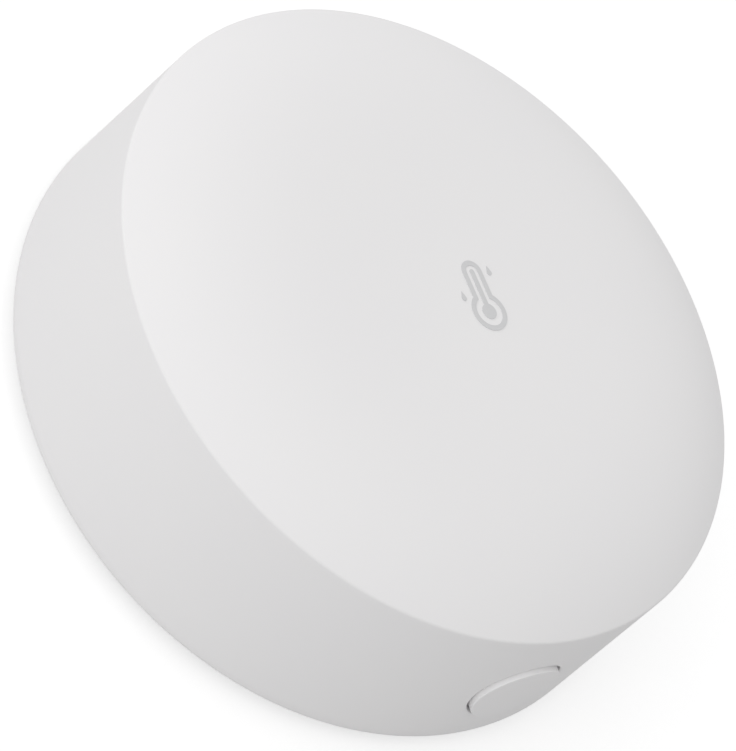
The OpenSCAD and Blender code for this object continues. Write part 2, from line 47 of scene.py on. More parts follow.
def feed(tree, node, inputs):  # sets a node's sockets, each to a value, a link or a list of links
    for name, value in inputs.items():
        sources = value if isinstance(value, list) else [value]
        if isinstance(sources[0], bpy.types.NodeSocket):
            for source in sources:
                tree.links.new(source, node.inputs[name])
        else:
            node.inputs[name].default_value = value


def addNode(tree, kind, inputs=None, **settings):
    node = tree.nodes.new(kind)
    for name, value in settings.items():
        setattr(node, name, value)
    feed(tree, node, inputs or {})
    return node


def seenDirectly(tree):  # 1 for rays that show the surface itself, 0 for rays that only carry its light
    path = addNode(tree, "ShaderNodeLightPath").outputs
    shown = addNode(tree, "ShaderNodeMath", {0: path["Is Camera Ray"], 1: path["Is Glossy Ray"]},
                    operation="MAXIMUM")
    return addNode(tree, "ShaderNodeMath", {0: shown.outputs[0], 1: path["Is Transmission Ray"]},
                   operation="MAXIMUM").outputs[0]


# Camera, placed so that the shell's edges fall where the photograph has them
view = {
    "eye": (-55.17, -30.74, 66.27), "aim": (-1.42, -0.83, 4.37),  # mm
    "roll": 49.03,  # degrees, tilts the lying sensor so that it seems to stand on its edge
    "lens": 86.16, "sensor": 36.0, "nearest": 5.0, "farthest": 20000.0,  # mm
}
cameraData = bpy.data.cameras.new("photoCamera")
cameraData.lens = view["lens"]
cameraData.sensor_width = view["sensor"]
cameraData.clip_start = view["nearest"] * mm
cameraData.clip_end = view["farthest"] * mm
camera = bpy.data.objects.new("photoCamera", cameraData)
bpy.context.collection.objects.link(camera)
look = Vector(view["aim"]) - Vector(view["eye"])
camera.location = Vector(view["eye"]) * mm
camera.rotation_mode = "QUATERNION"
camera.rotation_quaternion = (look.to_track_quat("-Z", "Y")
                              @ Quaternion((0, 0, 1), math.radians(view["roll"])))
bpy.context.scene.camera = camera
bpy.context.scene.view_settings.view_transform = "Standard"

# Soft room light that fades evenly from one side to the other, and a pale floor
light = {
    "level": 0.92, "slope": (-0.14, 0.32, -0.20),  # light from all round, and more from this side
    "boxTowards": (-0.75, -0.2, 0.63), "boxDistance": 350.0, "boxWidth": 400.0, "boxHeight": 400.0,  # mm
    "boxPower": 0.36,  # watts
    "floorColour": "#C2C2C2", "floorGlow": 0.56,  # the glow only whitens the floor as it is seen
    "floorRadius": 1500.0, "floorDrop": 0.02,  # mm
    "floorSides": 64,
}
world = bpy.data.worlds.new("softRoom")
bpy.context.scene.world = world
world.use_nodes = True
tree = world.node_tree
tree.nodes.clear()
towards = addNode(tree, "ShaderNodeTexCoord")
side = addNode(tree, "ShaderNodeVectorMath", {0: towards.outputs["Generated"], 1: light["slope"]},
               operation="DOT_PRODUCT")
level = addNode(tree, "ShaderNodeMath", {0: side.outputs["Value"], 1: light["level"]}, operation="ADD")
room = addNode(tree, "ShaderNodeBackground", {"Color": (1, 1, 1, 1), "Strength": level.outputs[0]})
backdrop = addNode(tree, "ShaderNodeBackground", {"Color": (1, 1, 1, 1), "Strength": 1.0})
either = addNode(tree, "ShaderNodeMixShader", {0: seenDirectly(tree), 1: room.outputs[0],
                                               2: backdrop.outputs[0]})
addNode(tree, "ShaderNodeOutputWorld", {"Surface": either.outputs[0]})

boxData = bpy.data.lights.new("softbox", "AREA")
boxData.shape = "RECTANGLE"
boxData.energy = light["boxPower"]
boxData.size = light["boxWidth"] * mm
boxData.size_y = light["boxHeight"] * mm
softbox = bpy.data.objects.new("softbox", boxData)
bpy.context.collection.objects.link(softbox)
away = Vector(light["boxTowards"]).normalized()
softbox.location = away * light["boxDistance"] * mm
softbox.rotation_mode = "QUATERNION"
softbox.rotation_quaternion = away.to_track_quat("Z", "Y")

floorMaterial = bpy.data.materials.new("paintedFloor")
floorMaterial.use_nodes = True
tree = floorMaterial.node_tree
tree.nodes.clear()
paint = addNode(tree, "ShaderNodeBsdfDiffuse", {"Color": hexColour(light["floorColour"])})
glowLevel = addNode(tree, "ShaderNodeMath", {0: seenDirectly(tree), 1: light["floorGlow"]},
                    operation="MULTIPLY")
glow = addNode(tree, "ShaderNodeEmission", {"Color": (1, 1, 1, 1), "Strength": glowLevel.outputs[0]})
both = addNode(tree, "ShaderNodeAddShader", {0: paint.outputs[0], 1: glow.outputs[0]})
addNode(tree, "ShaderNodeOutputMaterial", {"Surface": both.outputs[0]})
bm = bmesh.new()
bmesh.ops.create_circle(bm, cap_ends=True, segments=light["floorSides"], radius=light["floorRadius"] * mm,
                        matrix=Matrix.Translation((0, 0, -light["floorDrop"] * mm)))
floorMesh = bpy.data.meshes.new("floor")
bm.to_mesh(floorMesh)
bm.free()
floorMesh.materials.append(floorMaterial)
floor = bpy.data.objects.new("floor", floorMesh)
bpy.context.collection.objects.link(floor)
print("camera, room light and floor set")


def startMaterial(name):  # a material with its shader and the Object coordinates that patterns use
    material = bpy.data.materials.new(name)
    material.use_nodes = True
    nodeTree = material.node_tree
    return (material, nodeTree, nodeTree.nodes["Principled BSDF"],
            addNode(nodeTree, "ShaderNodeTexCoord").outputs["Object"])


def perMetre(size):  # texture scale whose features are about this many millimetres wide
    return 1 / (size * mm)


# ABS, injection moulded in a fine spark-eroded tool: a bright satin white with no visible grain,
# only a faint softness in its highlights and a trace of flow from the gate
whiteAbs, tree, shader, place = startMaterial("whiteAbsMoulded")
flow = addNode(tree, "ShaderNodeTexNoise", {"Vector": place, "Scale": perMetre(9), "Detail": 2.0})
tint = addNode(tree, "ShaderNodeMix", {"Factor": flow.outputs["Fac"], "A": hexColour("#ECEBEB"),
                                       "B": hexColour("#EAE9EA")}, data_type="RGBA")
spark = addNode(tree, "ShaderNodeTexNoise", {"Vector": place, "Scale": perMetre(0.14), "Detail": 3.0})
satin = addNode(tree, "ShaderNodeMapRange", {"Value": spark.outputs["Fac"], "To Min": 0.58, "To Max": 0.68})
relief = addNode(tree, "ShaderNodeBump", {"Height": spark.outputs["Fac"], "Strength": 0.25,
                                          "Distance": 0.004 * mm})
feed(tree, shader, {"Base Color": tint.outputs["Result"], "Roughness": satin.outputs[0],
                    "Normal": relief.outputs[0], "IOR": 1.54, "Specular IOR Level": 0.2})

# The same ABS from a coarser tool, as backs are moulded: duller, with a grain that shows close up
backAbs, tree, shader, place = startMaterial("backAbsMoulded")
spark = addNode(tree, "ShaderNodeTexNoise", {"Vector": place, "Scale": perMetre(0.22), "Detail": 3.0})
tint = addNode(tree, "ShaderNodeMix", {"Factor": spark.outputs["Fac"], "A": hexColour("#E6E5E3"),
                                       "B": hexColour("#DFDEDC")}, data_type="RGBA")
satin = addNode(tree, "ShaderNodeMapRange", {"Value": spark.outputs["Fac"], "To Min": 0.5, "To Max": 0.66})
relief = addNode(tree, "ShaderNodeBump", {"Height": spark.outputs["Fac"], "Strength": 0.5,
                                          "Distance": 0.012 * mm})
feed(tree, shader, {"Base Color": tint.outputs["Result"], "Roughness": satin.outputs[0],
                    "Normal": relief.outputs[0], "IOR": 1.54})

# Pad-printed ink: an even light grey film, a little less dense where the pad left it thin
greyInk, tree, shader, place = startMaterial("greyInkPrinted")
density = addNode(tree, "ShaderNodeTexNoise", {"Vector": place, "Scale": perMetre(0.3), "Detail": 2.0})
tint = addNode(tree, "ShaderNodeMix", {"Factor": density.outputs["Fac"], "A": hexColour("#D1D1D2"),
                                       "B": hexColour("#CCCCCD")}, data_type="RGBA")
feed(tree, shader, {"Base Color": tint.outputs["Result"], "Roughness": 0.5})

# Closed-cell foam tape, die cut: matt pale grey, with small cells in its cut sides and its skin; the cells'
# hollows carry painted shade, a little darker than the cell walls
foamTape, tree, shader, place = startMaterial("foamTapeDieCut")
cells = addNode(tree, "ShaderNodeTexVoronoi", {"Vector": place, "Scale": perMetre(0.18)},
                feature="DISTANCE_TO_EDGE")
hollowsAndShade = addNode(tree, "ShaderNodeMapRange", {"Value": cells.outputs["Distance"], "From Max": 0.25})
# painted shade: the colour darkens from each cell wall into the cell's hollow, following the same mask as the
# bump
tint = addNode(tree, "ShaderNodeMix", {"Factor": hollowsAndShade.outputs[0], "A": hexColour("#D9DADB"),
                                       "B": hexColour("#CDCECF")}, data_type="RGBA")
relief = addNode(tree, "ShaderNodeBump", {"Height": hollowsAndShade.outputs[0], "Strength": 0.4,
                                          "Distance": 0.02 * mm}, invert=True)
feed(tree, shader, {"Base Color": tint.outputs["Result"], "Normal": relief.outputs[0],
                    "Roughness": 0.85, "Sheen Weight": 0.15})

# Glass-epoxy board under green solder mask: glossy, lighter where copper tracks lie below the mask,
# in bundles that change their way every few millimetres, with a dot at each plated hole
board = {
    "bundle": 3.4, "trackStep": 0.55, "holeStep": 2.1,  # mm
    "crossways": 0.5, "routed": 0.45,  # bundles that draw more than this run crossways, or have tracks
    "trackEdge": (0.6, 0.72), "holeEdge": (0.15, 0.12),  # where the copper starts, and where it is full
    "waveSpan": 0.314,  # distance between the bands of a wave texture at scale 1
}
boardMask, tree, shader, place = startMaterial("glassEpoxyMasked")
bundles = addNode(tree, "ShaderNodeTexVoronoi", {"Vector": place, "Scale": perMetre(board["bundle"])},
                  feature="F1", distance="CHEBYCHEV")
draws = addNode(tree, "ShaderNodeSeparateColor", {0: bundles.outputs["Color"]})
crossways = addNode(tree, "ShaderNodeMath", {0: draws.outputs["Red"], 1: board["crossways"]},
                    operation="GREATER_THAN")
trackScale = perMetre(board["trackStep"] / board["waveSpan"])
along, across = [addNode(tree, "ShaderNodeTexWave", {"Vector": place, "Scale": trackScale},
                         wave_type="BANDS", bands_direction=way).outputs["Fac"] for way in "XY"]
waves = addNode(tree, "ShaderNodeMix", {"Factor": crossways.outputs[0], "A": along, "B": across})
tracks = addNode(tree, "ShaderNodeMapRange", {
    "Value": waves.outputs["Result"], "From Min": board["trackEdge"][0], "From Max": board["trackEdge"][1]})
chosen = addNode(tree, "ShaderNodeMath", {0: draws.outputs["Green"], 1: board["routed"]},
                 operation="GREATER_THAN")
routed = addNode(tree, "ShaderNodeMath", {0: tracks.outputs[0], 1: chosen.outputs[0]}, operation="MULTIPLY")
holes = addNode(tree, "ShaderNodeTexVoronoi", {"Vector": place, "Scale": perMetre(board["holeStep"])},
                feature="F1")
dots = addNode(tree, "ShaderNodeMapRange", {
    "Value": holes.outputs["Distance"], "From Min": board["holeEdge"][0], "From Max": board["holeEdge"][1]})
copper = addNode(tree, "ShaderNodeMath", {0: routed.outputs[0], 1: dots.outputs[0]}, operation="MAXIMUM")
tint = addNode(tree, "ShaderNodeMix", {"Factor": copper.outputs[0], "A": hexColour("#1B4A31"),
                                       "B": hexColour("#2E6B48")}, data_type="RGBA")
relief = addNode(tree, "ShaderNodeBump", {"Height": copper.outputs[0], "Strength": 0.5,
                                          "Distance": 0.02 * mm})
feed(tree, shader, {"Base Color": tint.outputs["Result"], "Normal": relief.outputs[0],
                    "Roughness": 0.3, "Coat Weight": 0.3})

# Plastics, resins and ceramics inside, each with its own colour pair, grain in mm and roughness
insideFinishes = {
    "chipEpoxyMoulded": ("#232426", "#1A1B1D", 0.09, 0.62),  # transfer moulded, dull and sandy
    "blackLcpMoulded": ("#2B2C2E", "#1F2022", 0.35, 0.48),  # glass-filled, with faint swirls
    "plungerPomMoulded": ("#44464A", "#3B3D41", 0.5, 0.38),  # slippery and a little waxy
    "cellSealNylon": ("#6C6E70", "#626466", 0.3, 0.45),  # moulded ring, slightly waxy
    "cellPowderPressed": ("#2E2D2B", "#1C1B1A", 0.12, 0.9),  # black pressed powder, no shine
    "paleCeramicFired": ("#E9E4D8", "#DED8CA", 0.15, 0.55),  # fine-grained, eggshell
    "tanCeramicFired": ("#AE9069", "#9A7D58", 0.12, 0.5),  # dielectric brown, eggshell
    "resistorGlaze": ("#17181A", "#202124", 0.2, 0.28),  # fired glass over the film, glossy
}
insideSpread = 0.06  # how far the roughness strays either way
finishes = {"whiteAbsMoulded": whiteAbs, "backAbsMoulded": backAbs, "greyInkPrinted": greyInk,
            "foamTapeDieCut": foamTape, "glassEpoxyMasked": boardMask}
for name, (first, second, grain, rough) in insideFinishes.items():
    finishes[name], tree, shader, place = startMaterial(name)
    grit = addNode(tree, "ShaderNodeTexNoise", {"Vector": place, "Scale": perMetre(grain), "Detail": 4.0})
    tint = addNode(tree, "ShaderNodeMix", {"Factor": grit.outputs["Fac"], "A": hexColour(first),
                                           "B": hexColour(second)}, data_type="RGBA")
    satin = addNode(tree, "ShaderNodeMapRange", {
        "Value": grit.outputs["Fac"], "To Min": rough - insideSpread, "To Max": rough + insideSpread})
    relief = addNode(tree, "ShaderNodeBump", {"Height": grit.outputs["Fac"], "Strength": 0.4,
                                              "Distance": 0.01 * mm})
    feed(tree, shader, {"Base Color": tint.outputs["Result"], "Roughness": satin.outputs[0],
                        "Normal": relief.outputs[0]})

# Sheet and wire metals: streaks run along the way each was rolled, brushed or turned
metalFinishes = {  # colour, size of a streak in mm along x, y and z, roughness
    "tinnedSteelPressed": ("#D2D1CB", (0.6, 0.06, 0.06), 0.34),  # tin plate, soft bright grey
    "nickelSteelDrawn": ("#C9C5BC", (0.8, 0.05, 0.05), 0.26),  # nickel plate, warm and bright
    "springSteelRolled": ("#C2C1BC", (1.2, 0.05, 0.05), 0.24),  # bright rolled strip
    "zincSteelTurned": ("#C3C6C9", (0.05, 0.05, 0.4), 0.36),  # zinc plate, cool and a little cloudy
    "solderTinned": ("#CFCFCA", (0.25, 0.25, 0.25), 0.42),  # reflowed tin, cloudy
}
metalSpread = 0.1
for name, (colour, streak, rough) in metalFinishes.items():
    finishes[name], tree, shader, place = startMaterial(name)
    spread = addNode(tree, "ShaderNodeMapping", {"Vector": place, "Scale": [perMetre(s) for s in streak]})
    rolled = addNode(tree, "ShaderNodeTexNoise", {"Vector": spread.outputs[0], "Scale": 1.0, "Detail": 3.0})
    satin = addNode(tree, "ShaderNodeMapRange", {
        "Value": rolled.outputs["Fac"], "To Min": rough - metalSpread, "To Max": rough + metalSpread})
    relief = addNode(tree, "ShaderNodeBump", {"Height": rolled.outputs["Fac"], "Strength": 0.3,
                                              "Distance": 0.004 * mm})
    feed(tree, shader, {"Base Color": hexColour(colour), "Metallic": 1.0, "Roughness": satin.outputs[0],
                        "Normal": relief.outputs[0]})

# Clear epoxy cast round the lamp's die: yellowish, glossy and half clear
finishes["lampResinCast"], tree, shader, place = startMaterial("lampResinCast")
haze = addNode(tree, "ShaderNodeTexNoise", {"Vector": place, "Scale": perMetre(0.4), "Detail": 2.0})
tint = addNode(tree, "ShaderNodeMix", {"Factor": haze.outputs["Fac"], "A": hexColour("#F1EBC9"),
                                       "B": hexColour("#E6DFB4")}, data_type="RGBA")
feed(tree, shader, {"Base Color": tint.outputs["Result"], "Roughness": 0.15, "Transmission Weight": 0.5})
print("materials mixed:", len(finishes))

finishing = {"weld": 1e-5, "sharp": 38.0}  # mm between points that are one, degrees at a sharp edge


def finishPiece(bm, name, body, materials):
    # closes a drawing, scales it from millimetres, and hands it to a body of the frame
    bmesh.ops.remove_doubles(bm, verts=bm.verts, dist=finishing["weld"])
    bmesh.ops.delete(bm, geom=[vert for vert in bm.verts if not vert.link_faces], context="VERTS")
    bmesh.ops.recalc_face_normals(bm, faces=bm.faces)
    bmesh.ops.scale(bm, vec=(mm, mm, mm), verts=bm.verts)
    mesh = bpy.data.meshes.new(name)
    bm.to_mesh(mesh)
    bm.free()
    mesh.validate()  # drops the doubled edges that a cut can leave
    mesh.shade_smooth()
    mesh.set_sharp_from_angle(angle=math.radians(finishing["sharp"]))
    for material in materials:
        mesh.materials.append(material)
    piece = bpy.data.objects.new(name, mesh)
    bpy.context.collection.objects.link(piece)
    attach(piece, body)
    return piece


def ringAt(bm, radius, z, count, centre=(0, 0)):
    turns = [2 * math.pi * k / count for k in range(count)]
    return [bm.verts.new((centre[0] + radius * math.cos(turn), centre[1] + radius * math.sin(turn), z))
            for turn in turns]


def skin(bm, rings):  # quads between rings that follow each other
    for one, two in zip(rings, rings[1:]):
        for k in range(len(one)):
            n = (k + 1) % len(one)
            bm.faces.new((one[k], one[n], two[n], two[k]))


def capTo(bm, ring, point):  # closes a ring on a pole
    pole = bm.verts.new(point)
    for k in range(len(ring)):
        bm.faces.new((ring[k], ring[(k + 1) % len(ring)], pole))


# Front shell: turned wall and front in one skin, with the button's hole let into the wall
shell = {
    "backRadius": 18.0, "rimRadius": 16.9, "backZ": 0.6, "rimZ": 9.95, "wall": 1.4,
    "rise": 2.15, "power": 5,  # the front's dome, flatter in the middle as the power grows
    "corner": 0.2, "backEdge": 0.25, "insideChamfer": 0.12,
    "holeZ": 5.05, "holeRadius": 2.32, "holeEdge": 0.06,
    "seatY": 15.3, "seatRadius": 3.25, "seatFloor": 1.92,
    "bosses": 4, "bossAngle": 45.0, "bossRing": 14.32, "bossRadius": 1.2,
    "bossZ": 7.25, "bossTop": 10.0, "bossChamfer": 0.08, "bossSides": 32,
    "pilotRadius": 0.62, "pilotEnd": 9.35,
    "columns": 192, "patch": 8,  # columns on each side of the hole that give way to its rings
    "patchLow": 1.2, "patchHigh": 8.9, "patchInside": 8.5,  # heights of the patch's borders
    "underRim": (9.6, 9.45, 9.2),  # heights of the rows between the patch and the rim
    "domeRows": 48, "domeCrowd": 1.6, "insideRows": 24, "insideCrowd": 0.7,  # rows crowd towards the rim
    "cornerRows": 10, "backEdgeRows": 6, "mouthRows": 5,
    "mouthShares": (0.8, 0.6, 0.4, 0.22, 0.1, 0.04, 0.0),  # rings from the patch's border to the hole
    "seatShares": (0.0, 0.4, 0.7),  # rings from the button's seat to the patch's border inside
}


def wallRadius(z):
    fall = (shell["backRadius"] - shell["rimRadius"]) / (shell["rimZ"] - shell["backZ"])
    return shell["backRadius"] - fall * (z - shell["backZ"])


def frontHeight(radius):
    return shell["rimZ"] + shell["rise"] * (1 - (radius / shell["rimRadius"]) ** shell["power"])


def onWall(x, z, inset=0.0):  # point of the button's side of the wall, some way under its face
    return Vector((x, -math.sqrt((wallRadius(z) - inset) ** 2 - x * x), z))


lean = math.atan((shell["backRadius"] - shell["rimRadius"]) / (shell["rimZ"] - shell["backZ"]))
slope = math.atan(shell["rise"] * shell["power"] / shell["rimRadius"])
run = shell["corner"] * math.tan((math.pi / 2 - lean - slope) / 2)
cornerX = shell["rimRadius"] + run * math.sin(lean) - shell["corner"] * math.cos(lean)
cornerZ = shell["rimZ"] - run * math.cos(lean) - shell["corner"] * math.sin(lean)
domeStart = shell["rimRadius"] - run * math.cos(slope)
topZ = shell["rimZ"] + shell["rise"]

profile = []  # from the middle of the front, down the wall, round the back edge and up inside
for i in range(1, shell["domeRows"] + 1):
    radius = domeStart * (1 - (1 - i / shell["domeRows"]) ** shell["domeCrowd"])
    profile.append((radius, frontHeight(radius)))
for i in range(1, shell["cornerRows"] + 1):
    turn = math.pi / 2 - slope + (lean - math.pi / 2 + slope) * i / shell["cornerRows"]
    profile.append((cornerX + shell["corner"] * math.cos(turn), cornerZ + shell["corner"] * math.sin(turn)))
profile += [(wallRadius(z), z) for z in shell["underRim"]]
outerStart = len(profile)
rows = 2 * shell["patch"]
for i in range(rows + 1):
    z = shell["patchHigh"] + (shell["patchLow"] - shell["patchHigh"]) * i / rows
    profile.append((wallRadius(z), z))
edgeZ = shell["backZ"] + shell["backEdge"]
for i in range(shell["backEdgeRows"] + 1):
    turn = math.pi / 2 * i / shell["backEdgeRows"]
    profile.append((wallRadius(edgeZ) - shell["backEdge"] * (1 - math.cos(turn)),
                    edgeZ - shell["backEdge"] * math.sin(turn)))
chamferZ = shell["backZ"] + shell["insideChamfer"]
profile.append((wallRadius(shell["backZ"]) - shell["wall"] + shell["insideChamfer"], shell["backZ"]))
profile.append((wallRadius(chamferZ) - shell["wall"], chamferZ))
innerStart = len(profile)
for i in range(rows + 1):
    z = shell["patchLow"] + (shell["patchInside"] - shell["patchLow"]) * i / rows
    profile.append((wallRadius(z) - shell["wall"], z))
insideEdge = wallRadius(shell["rimZ"] - shell["wall"]) - shell["wall"]
for i in range(shell["insideRows"]):
    share = (1 - i / shell["insideRows"]) ** shell["insideCrowd"]
    profile.append((insideEdge * share, frontHeight(shell["rimRadius"] * share) - shell["wall"]))

bm = bmesh.new()
turned = [ringAt(bm, radius, z, shell["columns"]) for radius, z in profile]
capTo(bm, turned[0], (0, 0, topZ))
capTo(bm, turned[-1], (0, 0, topZ - shell["wall"]))
middle = shell["columns"] * 3 // 4  # the column that faces -Y
columns = range(middle - shell["patch"], middle + shell["patch"] + 1)
for i, (one, two) in enumerate(zip(turned, turned[1:])):
    patched = outerStart <= i < outerStart + rows or innerStart <= i < innerStart + rows
    for k in range(shell["columns"]):
        if not (patched and columns[0] <= k < columns[-1]):
            n = (k + 1) % shell["columns"]
            bm.faces.new((one[k], one[n], two[n], two[k]))


def patchLoop(rings):  # the patch's border, from its lower left corner round, lowest ring first
    low, high = rings[0], rings[-1]
    rightSide = [ring[columns[-1]] for ring in rings[1:]]
    leftSide = [ring[columns[0]] for ring in reversed(rings[1:-1])]
    return [low[c] for c in columns] + rightSide + [high[c] for c in reversed(columns[:-1])] + leftSide


outerLoop = patchLoop(list(reversed(turned[outerStart:outerStart + rows + 1])))
innerLoop = patchLoop(turned[innerStart:innerStart + rows + 1])
lowerLeft = 225  # degrees, so that the hole's rings start beside the first corner of both loops
around = [math.radians(lowerLeft + 360 * i / len(outerLoop)) for i in range(len(outerLoop))]


def holePoints(radius, floorZ=0.0):  # x and z round the hole's axis
    return [(radius * math.cos(a), max(shell["holeZ"] + radius * math.sin(a), floorZ)) for a in around]


def towardsLoop(points, loop, share, inset):  # ring on the wall, some share of the way to a loop
    placed = []
    for (x, z), border in zip(points, loop):
        nearer = onWall(x + (border.co.x - x) * share, z + (border.co.z - z) * share, inset)
        placed.append(bm.verts.new(nearer))
    return placed


mouth = holePoints(shell["holeRadius"] + shell["holeEdge"])
bore = holePoints(shell["holeRadius"])
seat = holePoints(shell["seatRadius"], shell["seatFloor"])
rings = [outerLoop]
for share in shell["mouthShares"]:
    rings.append(towardsLoop(mouth, outerLoop, share, 0.0))
for i in range(1, shell["mouthRows"] + 1):  # rounded mouth of the hole
    turn = math.pi / 2 * i / shell["mouthRows"]
    points = holePoints(shell["holeRadius"] + shell["holeEdge"] * (1 - math.sin(turn)))
    sunk = Vector((0, shell["holeEdge"] * (1 - math.cos(turn)), 0))
    rings.append([bm.verts.new(onWall(x, z) + sunk) for x, z in points])
for points in (bore, seat):
    rings.append([bm.verts.new((x, -shell["seatY"], z)) for x, z in points])
for share in shell["seatShares"]:
    rings.append(towardsLoop(seat, innerLoop, share, shell["wall"]))
rings.append(innerLoop)
skin(bm, rings)
bossProfile = (
    (shell["bossRadius"], shell["bossTop"]), (shell["bossRadius"], shell["bossZ"] + shell["bossChamfer"]),
    (shell["bossRadius"] - shell["bossChamfer"], shell["bossZ"]), (shell["pilotRadius"], shell["bossZ"]),
    (shell["pilotRadius"], shell["pilotEnd"]))
for boss in range(shell["bosses"]):  # screw bosses under the front
    turn = math.radians(shell["bossAngle"] + 360 * boss / shell["bosses"])
    centre = (shell["bossRing"] * math.cos(turn), shell["bossRing"] * math.sin(turn))
    tube = [ringAt(bm, radius, z, shell["bossSides"], centre) for radius, z in bossProfile]
    skin(bm, tube)
    capTo(bm, tube[0], (*centre, shell["bossTop"]))
    capTo(bm, tube[-1], (*centre, shell["pilotEnd"]))
frontShell = finishPiece(bm, "frontShell", "housing", [whiteAbs])
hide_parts("front_shell")
print("front shell turned:", len(frontShell.data.polygons), "faces")

# Side button: its cap follows the wall and stands a little proud, over a flange and a stem
button = {
    "radius": 2.2, "proud": 0.2, "edge": 0.06, "capRows": 8, "edgeRows": 8,
    "flangeRadius": 2.8, "flange": 0.7, "flangeChamfer": 0.06,
    "stemRadius": 0.8, "stem": 0.6, "stemChamfer": 0.08,
}
crown = button["radius"] - button["edge"]
# Each ring's radius, with its depth under the cap's face or, further in, its distance from the axis
capProfile = [(crown * i / button["capRows"], 0.0) for i in range(1, button["capRows"] + 1)]
for i in range(1, button["edgeRows"] + 1):
    turn = math.pi / 2 * i / button["edgeRows"]
    capProfile.append((crown + button["edge"] * math.sin(turn), button["edge"] * (1 - math.cos(turn))))
flangeY = shell["seatY"] - button["flange"]
stemY = flangeY - button["stem"]
flangeRim = button["flangeRadius"] - button["flangeChamfer"]
innerProfile = (
    (button["radius"], shell["seatY"]), (flangeRim, shell["seatY"]),
    (button["flangeRadius"], shell["seatY"] - button["flangeChamfer"]),
    (button["flangeRadius"], flangeY + button["flangeChamfer"]), (flangeRim, flangeY),
    (button["stemRadius"], flangeY), (button["stemRadius"], stemY + button["stemChamfer"]),
    (button["stemRadius"] - button["stemChamfer"], stemY))
bm = bmesh.new()
capRings = []
for radius, depth in capProfile:
    sunk = Vector((0, depth, 0))
    capRings.append([bm.verts.new(onWall(x, z, -button["proud"]) + sunk) for x, z in holePoints(radius)])
for radius, y in innerProfile:
    capRings.append([bm.verts.new((x, -y, z)) for x, z in holePoints(radius)])
skin(bm, capRings)
capTo(bm, capRings[0], onWall(0, shell["holeZ"], -button["proud"]))
capTo(bm, capRings[-1], (0, -stemY, shell["holeZ"]))
sideButton = finishPiece(bm, "sideButton", "button", [whiteAbs])
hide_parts("side_button")
print("side button formed")

# Printed thermometer with two small drops, as a thin film of ink on the front
mark = {
    "bulbY": -1.62, "bulb": 1.0, "tube": 0.6, "tubeLength": 2.1, "line": 0.26, "core": 0.4, "column": 0.13,
    "drop": 0.14, "dropTip": 0.36, "drops": ((1.04, 1.98), (-1.17, 0.8)), "ink": 0.03, "turn": 4.0,
    "bulbSteps": 72, "tubeSteps": 36, "dropSteps": 32,
}


def arcPoints(x, y, radius, start, end, count):  # angles in degrees
    turns = [math.radians(start + (end - start) * i / count) for i in range(count + 1)]
    return [(x + radius * math.cos(turn), y + radius * math.sin(turn)) for turn in turns]


def thermometerOutline(bulb, tube):
    half = math.degrees(math.asin(tube / bulb))
    return (arcPoints(0, 0, bulb, 90 + half, 450 - half, mark["bulbSteps"])
            + arcPoints(0, mark["tubeLength"], tube, 0, 180, mark["tubeSteps"]))


outlines = [thermometerOutline(mark["bulb"], mark["tube"]),
            thermometerOutline(mark["bulb"] - mark["line"], mark["tube"] - mark["line"]),
            thermometerOutline(mark["core"], mark["column"])]
half = math.degrees(math.acos(mark["drop"] / mark["dropTip"]))
for x, y in mark["drops"]:
    belly = arcPoints(x, y, mark["drop"], 90 + half, 450 - half, mark["dropSteps"])
    outlines.append(belly + [(x, y + mark["dropTip"])])
drawing = bpy.data.curves.new("thermometerMark", "CURVE")
drawing.dimensions = "2D"
drawing.fill_mode = "BOTH"
drawing.extrude = mark["ink"] / 2
for outline in outlines:
    spline = drawing.splines.new("POLY")
    spline.points.add(len(outline) - 1)
    spline.use_cyclic_u = True
    for point, (x, y) in zip(spline.points, outline):
        point.co = (x, y, 0, 1)
sketch = bpy.data.objects.new("thermometerSketch", drawing)
bpy.context.collection.objects.link(sketch)
flat = bpy.data.meshes.new_from_object(sketch.evaluated_get(bpy.context.evaluated_depsgraph_get()))
bm = bmesh.new()
bm.from_mesh(flat)
bpy.data.objects.remove(sketch)
bmesh.ops.translate(bm, verts=bm.verts, vec=(0, mark["bulbY"], topZ + mark["ink"] / 2))
bmesh.ops.rotate(bm, verts=bm.verts, matrix=Matrix.Rotation(math.radians(mark["turn"]), 3, "Z"))
thermometerMark = finishPiece(bm, "thermometerMark", "housing", [greyInk])
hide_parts("thermometer_mark")
print("thermometer printed:", len(outlines), "outlines")


def startTree(name, values):  # a tree with a named input for each value, and one geometry output
    kinds = {float: "NodeSocketFloat", int: "NodeSocketInt", tuple: "NodeSocketVector"}
    nodeTree = bpy.data.node_groups.new(name, "GeometryNodeTree")
    for label, value in values.items():
        nodeTree.interface.new_socket(label, in_out="INPUT",
                                      socket_type=kinds.get(type(value), "NodeSocketMaterial"))
    nodeTree.interface.new_socket("Geometry", in_out="OUTPUT", socket_type="NodeSocketGeometry")
    return nodeTree, addNode(nodeTree, "NodeGroupInput").outputs


def drawNodes(name, nodeTree, values):  # runs a tree once and keeps its result as a plain drawing
    carrier = bpy.data.objects.new(name, bpy.data.meshes.new(name))
    bpy.context.collection.objects.link(carrier)
    modifier = carrier.modifiers.new(name, "NODES")
    modifier.node_group = nodeTree
    for item in nodeTree.interface.items_tree:
        if item.in_out == "INPUT":
            modifier[item.identifier] = values[item.name]
    graph = bpy.context.evaluated_depsgraph_get()
    made = bpy.data.meshes.new_from_object(carrier.evaluated_get(graph))
    carrier.modifiers.remove(modifier)
    drawn = bmesh.new()
    drawn.from_mesh(made)
    used = [material for material in made.materials if material]
    for face in drawn.faces:  # primitives bring an empty slot, which is left out
        face.material_index = used.index(made.materials[face.material_index])
    bpy.data.objects.remove(carrier)
    return drawn


